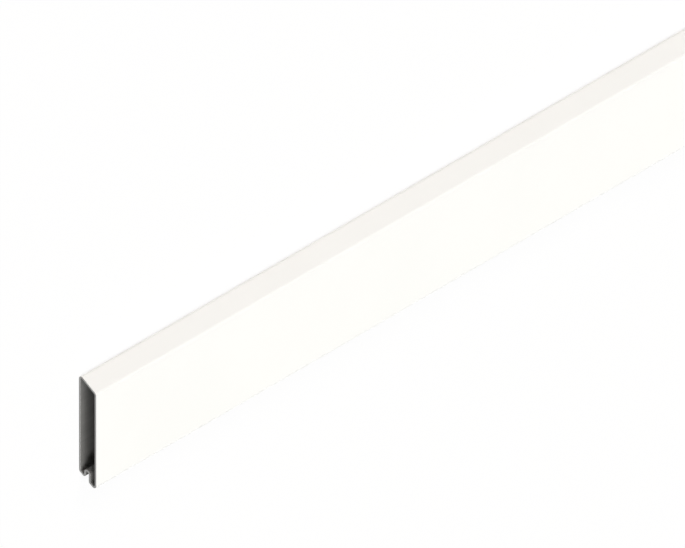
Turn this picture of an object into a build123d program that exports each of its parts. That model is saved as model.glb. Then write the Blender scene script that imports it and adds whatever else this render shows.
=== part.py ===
from build123d import *
import math
import os

# A hollow rhombus-section cladding bar, extruded in one piece, with a clip groove in its lower edge.
# It lies on its back face, as it would on a level floor. +X runs along the bar, +Y points to the
# edge that is uppermost on a wall, and +Z points out of the visible face. Sizes are in millimetres.
# The origin is on the back face, under the middle of the bar.

# Driving sizes
length = 2000.0  # stock length
height = 120.0  # from the lowest corner of the visible face to the highest of the back, corners sharp
depth = 22.0  # from the back face to the visible face
edge_slope = 30.0  # fall of the upper and lower edges towards the visible face, in degrees
wall = 2.0  # every wall of the extrusion
edge_radius = 3.5  # outside round of the four long edges
groove_width = 4.0  # clear width for the clip
groove_depth = 9.5  # from the lower edge to the groove's crown, on the groove's centre line
groove_shift = 0.6  # from the middle of the depth back to the groove's centre line
mouth_radius = 2.4  # round where the lower edge turns into the groove
root_radius = 0.5  # round in the hollow where the groove's walls meet the lower edge

# Worked out from them
slope_rate = math.tan(math.radians(edge_slope))
slope_stretch = 1 / math.cos(math.radians(edge_slope))
lean = depth * slope_rate  # how much higher the back face stands than the visible one
back_low = lean - height / 2
back_high = height / 2
face_low = -height / 2
face_high = height / 2 - lean
groove_line = depth / 2 - groove_shift


def lower_edge(level, inset=0.0):
    """Place along Y of the lower edge at this level above the back face, or inset mm inside its wall."""
    return back_low - level * slope_rate + inset * slope_stretch


crown_centre = (lower_edge(groove_line) + groove_depth - groove_width / 2, groove_line)


def arch(width, mode=Mode.ADD):
    """Straight sides that run out past the lower edge, under a round crown."""
    run_out = crown_centre[0] - face_low
    with Locations(crown_centre):
        Circle(width / 2, mode=mode)
        Rectangle(run_out, width, align=(Align.MAX, Align.CENTER), mode=mode)


def corners_at(sketch, half_width, inset=0.0):
    """The two corners where sides this far from the groove's centre line meet the lower edge."""
    levels = (groove_line - half_width, groove_line + half_width)
    points = [Vector(lower_edge(level, inset), level) for level in levels]
    return [sketch.vertices().sort_by_distance(point)[0] for point in points]


with BuildPart() as cladding_profile:
    with BuildSketch(Plane.YZ, mode=Mode.PRIVATE) as rhombus:
        with BuildLine():
            Polyline(
                (back_low, 0),
                (back_high, 0),
                (face_high, depth),
                (face_low, depth),
                close=True,
            )
        make_face()
        fillet(rhombus.vertices(), edge_radius)

    with BuildSketch(Plane.YZ, mode=Mode.PRIVATE) as groove_wall:
        arch(groove_width + 2 * wall)
        add(rhombus.sketch_local, mode=Mode.INTERSECT)

    with BuildSketch(Plane.YZ) as section:
        add(rhombus.sketch_local)
        offset(amount=-wall, mode=Mode.SUBTRACT)
        add(groove_wall.sketch_local)
        arch(groove_width, Mode.SUBTRACT)
        fillet(corners_at(section, groove_width / 2), mouth_radius)
        fillet(corners_at(section, groove_width / 2 + wall, inset=wall), root_radius)

    extrude(amount=length / 2, both=True)

cladding_profile.part.label = "cladding_profile"

os.makedirs("parts", exist_ok=True)
export_step(cladding_profile.part, "parts/cladding_profile.step")

print("section area, mm2:", round(section.sketch.area, 1))
print("box:", cladding_profile.part.bounding_box())
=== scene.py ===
import math
from functools import cached_property

import bpy
from mathutils import Euler, Matrix, Vector


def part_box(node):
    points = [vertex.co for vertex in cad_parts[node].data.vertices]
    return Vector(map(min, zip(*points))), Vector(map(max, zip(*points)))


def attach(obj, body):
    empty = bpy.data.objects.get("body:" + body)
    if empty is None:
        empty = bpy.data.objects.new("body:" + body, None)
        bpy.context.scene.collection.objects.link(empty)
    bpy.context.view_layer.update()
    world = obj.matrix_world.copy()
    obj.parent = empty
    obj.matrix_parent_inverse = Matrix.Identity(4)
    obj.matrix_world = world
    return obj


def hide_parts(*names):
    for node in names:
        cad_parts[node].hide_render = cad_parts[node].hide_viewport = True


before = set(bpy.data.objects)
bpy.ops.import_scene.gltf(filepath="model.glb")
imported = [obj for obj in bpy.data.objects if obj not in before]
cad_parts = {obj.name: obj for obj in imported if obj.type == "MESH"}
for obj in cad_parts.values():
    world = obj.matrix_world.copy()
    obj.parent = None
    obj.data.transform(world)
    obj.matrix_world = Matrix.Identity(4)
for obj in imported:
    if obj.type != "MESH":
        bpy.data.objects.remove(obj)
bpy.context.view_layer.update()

NODE = "cladding_profile"
MM = 0.001

# The section's sizes, as the bar lies: Y runs up its visible face and Z out of it.
bar_low, bar_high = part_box(NODE)
END = bar_high.x  # from the middle of the bar to its sawn end
DEPTH = bar_high.z
HEIGHT = 120 * MM  # over the sharp corners
SLOPE = math.radians(30)
WALL = 2 * MM
EDGE_ROUND = 3.5 * MM
GROOVE_WIDTH = 4 * MM
GROOVE_DEPTH = 9.5 * MM
GROOVE_SHIFT = 0.6 * MM
MOUTH_ROUND = 2.4 * MM
ROOT_ROUND = 0.5 * MM
CUT_BREAK = 0.12 * MM  # the sharp edge taken off the sawn ends
COAT_REACH = 0.9 * WALL  # how far the coat goes into the groove's mouth

# What the modelling works with
ARC_STEP = math.radians(5)
ROUND_SHADING = math.radians(20)  # faces that meet at less than this are shaded as one round
NO_RUN = 0.0001 * MM  # what is left between two rounds that meet
WELD = 0.0005 * MM  # points nearer than this are one
END_LEAN = 0.3  # the faces of a sawn end and its break have more of X than this in their normals

# Worked out from the section's sizes
LEAN = DEPTH * math.tan(SLOPE)
STRETCH = 1 / math.cos(SLOPE)
BACK_TOP = HEIGHT / 2
BACK_FOOT = LEAN - HEIGHT / 2
GROOVE_LINE = DEPTH / 2 - GROOVE_SHIFT


def lower_edge(z, inset=0.0):
    """How high along Y the lower edge is at this depth, or inset inside it."""
    return BACK_FOOT - z * math.tan(SLOPE) + inset * STRETCH


def upper_edge(z, inset=0.0):
    """The same for the upper edge."""
    return BACK_TOP - z * math.tan(SLOPE) - inset * STRETCH


CROWN = lower_edge(GROOVE_LINE) + GROOVE_DEPTH


def skin_outline():
    """The corners of the outside, with the groove, as (y, z, round)."""
    half = GROOVE_WIDTH / 2
    near, far = GROOVE_LINE + half, GROOVE_LINE - half
    return [
        (upper_edge(0), 0, EDGE_ROUND),
        (upper_edge(DEPTH), DEPTH, EDGE_ROUND),
        (lower_edge(DEPTH), DEPTH, EDGE_ROUND),
        (lower_edge(near), near, MOUTH_ROUND),
        (CROWN, near, half),
        (CROWN, far, half),
        (lower_edge(far), far, MOUTH_ROUND),
        (lower_edge(0), 0, EDGE_ROUND),
    ]


def hollow_outline():
    """The corners of the hollow, which goes round the groove's own wall, as (y, z, round)."""
    half = GROOVE_WIDTH / 2 + WALL
    near, far = GROOVE_LINE + half, GROOVE_LINE - half
    corner = EDGE_ROUND - WALL
    front = DEPTH - WALL
    return [
        (upper_edge(WALL, WALL), WALL, corner),
        (upper_edge(front, WALL), front, corner),
        (lower_edge(front, WALL), front, corner),
        (lower_edge(near, WALL), near, ROOT_ROUND),
        (CROWN + WALL, near, half),
        (CROWN + WALL, far, half),
        (lower_edge(far, WALL), far, ROOT_ROUND),
        (lower_edge(WALL, WALL), WALL, corner),
    ]


# Modelling

def rounded_turns(corners):
    """For each corner: where its round starts and ends, its centre and the angle it turns, about +X."""
    turns = []
    for i, (y, z, r) in enumerate(corners):
        here = Vector((y, z))
        back = (Vector(corners[i - 1][:2]) - here).normalized()
        ahead = (Vector(corners[(i + 1) % len(corners)][:2]) - here).normalized()
        opening = back.angle(ahead)
        reach = r / math.tan(opening / 2)
        centre = here + (back + ahead).normalized() * (r / math.sin(opening / 2))
        way = 1 if back.cross(ahead) > 0 else -1  # spin turns the other way from the right-hand rule
        turns.append((here + back * reach, here + ahead * reach, centre, way * (math.pi - opening)))
    return turns


def trace(corners, x):
    """Draws a closed outline in the plane at x with the one selected point as the pen."""
    turns = rounded_turns(corners)
    pen = turns[0][1]
    bpy.ops.mesh.primitive_plane_add(size=MM, location=(x, pen.x, pen.y))
    bpy.ops.mesh.merge(type="CENTER")
    for start, end, centre, angle in turns[1:] + turns[:1]:
        run = start - pen
        if run.length > NO_RUN:
            bpy.ops.mesh.extrude_region_move(TRANSFORM_OT_translate={"value": (0, run.x, run.y)})
        bpy.ops.mesh.spin(
            steps=max(2, round(abs(angle) / ARC_STEP)),
            angle=angle,
            center=(x, centre.x, centre.y),
            axis=(1, 0, 0),
        )
        pen = end


def select_end(bar, way):
    """In edit mode, selects only the flat end at +X or -X, as way is 1 or -1."""
    bpy.ops.object.mode_set(mode="OBJECT")
    for part in (bar.data.vertices, bar.data.edges, bar.data.polygons):
        part.foreach_set("select", [False] * len(part))
    for face in bar.data.polygons:
        face.select = face.normal.x * way > END_LEAN
    bpy.ops.object.mode_set(mode="EDIT")
    bpy.ops.mesh.select_mode(type="FACE")


def make_bar():
    """Both outlines drawn, filled, drawn out along the bar, and the edges of its two ends broken."""
    start = -END + CUT_BREAK
    bpy.ops.object.select_all(action="DESELECT")
    bpy.ops.mesh.primitive_plane_add(size=MM)
    bar = bpy.context.object
    bar.name = bar.data.name = "coated_bar"
    bpy.ops.object.mode_set(mode="EDIT")
    bpy.ops.mesh.select_mode(type="VERT")
    bpy.ops.mesh.select_all(action="SELECT")
    bpy.ops.mesh.delete(type="VERT")
    for corners in (skin_outline(), hollow_outline()):
        bpy.ops.mesh.select_all(action="DESELECT")
        trace(corners, start)
    bpy.ops.mesh.select_all(action="SELECT")
    bpy.ops.mesh.remove_doubles(threshold=WELD)
    bpy.ops.mesh.fill(use_beauty=True)
    bpy.ops.mesh.select_all(action="SELECT")
    bpy.ops.mesh.extrude_region_move(TRANSFORM_OT_translate={"value": (-2 * start, 0, 0)})
    bpy.ops.mesh.select_all(action="SELECT")
    bpy.ops.mesh.normals_make_consistent(inside=False)
    for way in (-1, 1):
        select_end(bar, way)
        bpy.ops.mesh.inset(thickness=CUT_BREAK, depth=CUT_BREAK, use_even_offset=True)
    bpy.ops.object.mode_set(mode="OBJECT")
    return bar


def skin_distance(y, z):
    """How far inside the sharp-cornered outside a point of the section lies."""
    across = math.cos(SLOPE)
    return min(z, DEPTH - z, (y - lower_edge(z)) * across, (upper_edge(z) - y) * across)


COAT, SAWN_AND_PAINTED_SHADE, MILL_AND_PAINTED_SHADE = 0, 1, 2  # places in the bar's list of finishes


def finish_of(at, out):
    """The finish of a face with this centre and normal. The sawn ends and the faces of the hollow and groove
    get greys darkened as painted shade.
    """
    if abs(out.x) > END_LEAN:
        return SAWN_AND_PAINTED_SHADE
    return COAT if skin_distance(at.y, at.z) < COAT_REACH else MILL_AND_PAINTED_SHADE


bar = make_bar()
for face in bar.data.polygons:
    face.material_index = finish_of(face.center, face.normal)
bpy.ops.object.shade_smooth_by_angle(angle=ROUND_SHADING)
even = bar.modifiers.new("even_normals", "WEIGHTED_NORMAL")
even.keep_sharp = True
bpy.ops.object.modifier_apply(modifier=even.name)


# Finishes. Each pair of colours is what the finish drifts between.
COAT_WHITES = (0.921, 0.929, 0.897), (0.931, 0.939, 0.909)
# The sawn ends' greys: bare aluminium's grey, darkened further as painted shade on the end faces.
SAWN_AND_PAINTED_SHADE_GREYS = (0.245, 0.244, 0.240), (0.312, 0.311, 0.305)
# The hollow's greys: bare mill aluminium, darkened far below its own colour as painted shade in the hollow
# and the groove.
MILL_AND_PAINTED_SHADE_GREYS = (0.156, 0.155, 0.148), (0.193, 0.191, 0.182)
FLOOR_GREYS = (0.92, 0.92, 0.915), (0.93, 0.93, 0.925)
PEEL_DEPTH = 0.02 * MM
SAW_MARK_DEPTH = 0.03 * MM
STREAK_DEPTH = 0.01 * MM
SAW_ARBOR = (0, 110 * MM, 50 * MM)  # how far the saw's centre was below the bar's middle and behind its back


class Value:
    """A number that changes over a surface: arithmetic on it adds the Math nodes."""

    def __init__(self, nodes, socket):
        self.nodes, self.socket = nodes, socket

    def math(self, operation, first, second):
        return self.nodes.add("ShaderNodeMath", {"operation": operation}, {0: first, 1: second})

    def __add__(self, other):
        return self.math("ADD", self, other)

    def __mul__(self, other):
        return self.math("MULTIPLY", self, other)

    __radd__, __rmul__ = __add__, __mul__

    def or_more(self, other):
        return self.math("MAXIMUM", self, other)


class Nodes:
    """The nodes of one material or sky. Its patterns lie on Object coordinates."""

    def __init__(self, owner):
        owner.use_nodes = True
        self.owner, self.tree = owner, owner.node_tree
        self.tree.nodes.clear()

    def add(self, kind, settings=None, inputs=None, out=0):
        node = self.tree.nodes.new(kind)
        for name, value in (settings or {}).items():
            setattr(node, name, value)
        for name, value in (inputs or {}).items():
            if isinstance(value, Value):
                self.tree.links.new(value.socket, node.inputs[name])
            else:
                node.inputs[name].default_value = value
        return Value(self, node.outputs[out]) if node.outputs else None

    @cached_property
    def place(self):
        return self.add("ShaderNodeTexCoord", out="Object")

    def stretched(self, scale):
        return self.add("ShaderNodeMapping", {}, {"Vector": self.place, "Scale": scale})

    def moved(self, way):
        return self.add("ShaderNodeMapping", {}, {"Vector": self.place, "Location": way})

    def noise(self, scale, detail, roughness, at=None):
        return self.add(
            "ShaderNodeTexNoise",
            {},
            {"Vector": at or self.place, "Scale": scale, "Detail": detail, "Roughness": roughness},
            out="Fac",
        )

    def contrast(self, noise):
        """A noise keeps near its middle. This spreads it over the whole way from 0 to 1."""
        return self.add(
            "ShaderNodeMapRange",
            {"interpolation_type": "SMOOTHSTEP"},
            {"Value": noise, "From Min": 0.3, "From Max": 0.7},
            out="Result",
        )

    def between(self, share, first, second):
        """A colour between two others."""
        return self.add(
            "ShaderNodeMix",
            {"data_type": "RGBA", "clamp_factor": True},
            {"Factor": share, 6: (*first, 1), 7: (*second, 1)},
            out=2,
        )

    def relief(self, height, depth):
        """Bumps this deep, in metres, from a height that runs from 0 to 1."""
        return self.add("ShaderNodeBump", {}, {"Height": height, "Distance": depth}, out="Normal")

    def surface(self, **inputs):
        """The main shader. An underscore stands for a space in a socket's name."""
        named = {name.replace("_", " "): value for name, value in inputs.items()}
        return self.add("ShaderNodeBsdfPrincipled", {}, named)

    def done(self, shader, kind="ShaderNodeOutputMaterial"):
        self.add(kind, {}, {"Surface": shader})
        return self.owner


def finish(name):
    return Nodes(bpy.data.materials.new(name))


def white_coat():
    """Powder coat with an orange peel, a fine grain and broad clouds that hardly show."""
    f = finish("white_powder_coat")
    cloud = f.noise(scale=9, detail=3, roughness=0.55)
    peel = f.noise(scale=650, detail=2, roughness=0.5)
    grain = f.noise(scale=4200, detail=1, roughness=0.5)
    return f.done(
        f.surface(
            Base_Color=f.between(f.contrast(cloud), *COAT_WHITES),
            Roughness=0.34 + 0.08 * peel + 0.06 * cloud,
            Normal=f.relief(0.85 * peel + 0.15 * grain, PEEL_DEPTH),
        )
    )


def sawn_metal_and_painted_shade():
    """The bare ends, with the arcs that the saw's blade leaves. Their grey is partly the bare metal's own and
    partly painted shade, darker than sawn aluminium is.
    """
    f = finish("sawn_aluminium_and_painted_shade")
    marks = f.add(
        "ShaderNodeTexWave",
        {"wave_type": "RINGS", "rings_direction": "X", "wave_profile": "SIN"},
        {"Vector": f.moved(SAW_ARBOR), "Scale": 520, "Distortion": 1.2, "Detail": 2, "Detail Scale": 0.4},
        out="Fac",
    )
    fine = f.noise(scale=3000, detail=2, roughness=0.6)
    tone = 0.6 * marks + 0.4 * fine
    return f.done(
        f.surface(
            Base_Color=f.between(tone, *SAWN_AND_PAINTED_SHADE_GREYS),
            Metallic=0.5,
            Roughness=0.42 + 0.16 * fine,
            Normal=f.relief(tone, SAW_MARK_DEPTH),
        )
    )


def mill_metal_and_painted_shade():
    """Bare metal as the die leaves it, with streaks along the bar. Its grey is darkened far below the metal's
    own as painted shade in the hollow and the groove.
    """
    f = finish("mill_aluminium_and_painted_shade")
    streaks = f.noise(scale=1, detail=3, roughness=0.6, at=f.stretched((3, 900, 900)))
    broad = f.noise(scale=1, detail=2, roughness=0.5, at=f.stretched((1.5, 140, 140)))
    tone = 0.5 * streaks + 0.5 * broad
    return f.done(
        f.surface(
            Base_Color=f.between(f.contrast(tone), *MILL_AND_PAINTED_SHADE_GREYS),
            Roughness=0.56 + 0.18 * broad,
            Normal=f.relief(streaks, STREAK_DEPTH),
        )
    )


for make in (white_coat, sawn_metal_and_painted_shade, mill_metal_and_painted_shade):
    bar.data.materials.append(make())
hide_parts(NODE)
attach(bar, "root")


# Floor, light and camera
FLOOR_SIZE = 16  # metres
FLOOR_GAP = 0.1 * MM  # keeps the floor from showing through the bar's back face
FLOOR_WHITE = 0.86  # the rest of what is seen of the floor is its own colour, with the shadow
SKY_LIGHT = 0.1  # strength of the light that the sky gives


def seen(n):
    """1 where the surface or sky is looked at, straight, mirrored or through glass."""
    straight, mirrored, through = [
        n.add("ShaderNodeLightPath", out=f"Is {kind} Ray") for kind in ("Camera", "Glossy", "Transmission")
    ]
    return straight.or_more(mirrored).or_more(through)


def pale_floor():
    """It lights the bar with its own colour. Looked at, it is plain white with a light shadow."""
    f = finish("pale_floor")
    mottle = f.noise(scale=2.5, detail=3, roughness=0.5)
    ground = f.surface(
        Base_Color=f.between(mottle, *FLOOR_GREYS),
        Roughness=0.9,
        Specular_IOR_Level=0.0,
    )
    white = f.add("ShaderNodeEmission", {}, {"Strength": 1.0})
    return f.done(f.add("ShaderNodeMixShader", {}, {0: seen(f) * FLOOR_WHITE, 1: ground, 2: white}))


def studio_sky():
    """A dim sky that is plain white where it is looked at."""
    n = Nodes(bpy.data.worlds.new("studio"))
    dim = n.add("ShaderNodeBackground", {}, {"Color": (1, 1, 1, 1), "Strength": SKY_LIGHT})
    white = n.add("ShaderNodeBackground", {}, {"Color": (1, 1, 1, 1), "Strength": 1.0})
    return n.done(n.add("ShaderNodeMixShader", {}, {0: seen(n), 1: dim, 2: white}), "ShaderNodeOutputWorld")


bpy.ops.object.select_all(action="DESELECT")
bpy.ops.mesh.primitive_plane_add(size=FLOOR_SIZE, location=(0, 0, bar_low.z - FLOOR_GAP))
floor = bpy.context.object
floor.name = floor.data.name = "floor"
floor.data.materials.append(pale_floor())
bpy.context.scene.world = studio_sky()


def soft_sun(name, come_from, spread, strength, colour=(1, 1, 1)):
    """A wide soft lamp, spread in degrees, so far off that it lights the whole bar alike."""
    data = bpy.data.lights.new(name, "SUN")
    data.angle = math.radians(spread)
    data.energy = strength * math.pi
    data.color = colour
    lamp = bpy.data.objects.new(name, data)
    bpy.context.scene.collection.objects.link(lamp)
    lamp.rotation_euler = Vector(come_from).to_track_quat("Z", "Y").to_euler()


soft_sun("key", come_from=(-0.275, 0.09, 0.97), spread=34, strength=0.644)
soft_sun("side", come_from=(-0.6, -0.5, 0.62), spread=24, strength=0.326)
soft_sun("fill", come_from=(0, 0.85, 0.5), spread=30, strength=0.306, colour=(1.0, 0.9, 0.873))

# The picture is an isometric view of a bar that stood on its lower edge, so the camera leans over with it.
RIGHT = Vector((1, 0, 1)).normalized()
UP = Vector((1, 2, -1)).normalized()
BACK = Vector((-1, 1, 1)).normalized()
LENS = 1300  # millimetres: long, because the picture has no vanishing points
SENSOR = 36
NEAREST, FURTHEST = 1, 60  # metres that the camera sees
FIELD = 618.05 * MM  # width of the picture at the target
AIM = (221.21 * MM, 195.76 * MM, -100 * MM)  # right of, above and behind the sawn end's lower front corner
# Even such a lens narrows the bar a little with distance. This turn, in degrees, keeps that off the sawn end.
TURN = (0.132, -0.39, 0.06)

turn = Euler([math.radians(angle) for angle in TURN], "ZXY").to_matrix()
axes = Matrix((RIGHT, UP, BACK)).transposed() @ turn
corner = Vector((-END, lower_edge(DEPTH), DEPTH))
target = corner + axes @ Vector(AIM)
lens = bpy.data.cameras.new("long_lens")
lens.lens = LENS
lens.sensor_width = SENSOR
lens.clip_start, lens.clip_end = NEAREST, FURTHEST
camera = bpy.data.objects.new("camera", lens)
bpy.context.scene.collection.objects.link(camera)
camera.matrix_world = Matrix.Translation(target + axes.col[2] * FIELD * LENS / SENSOR) @ axes.to_4x4()
bpy.context.scene.camera = camera
bpy.context.scene.view_settings.view_transform = "Standard"
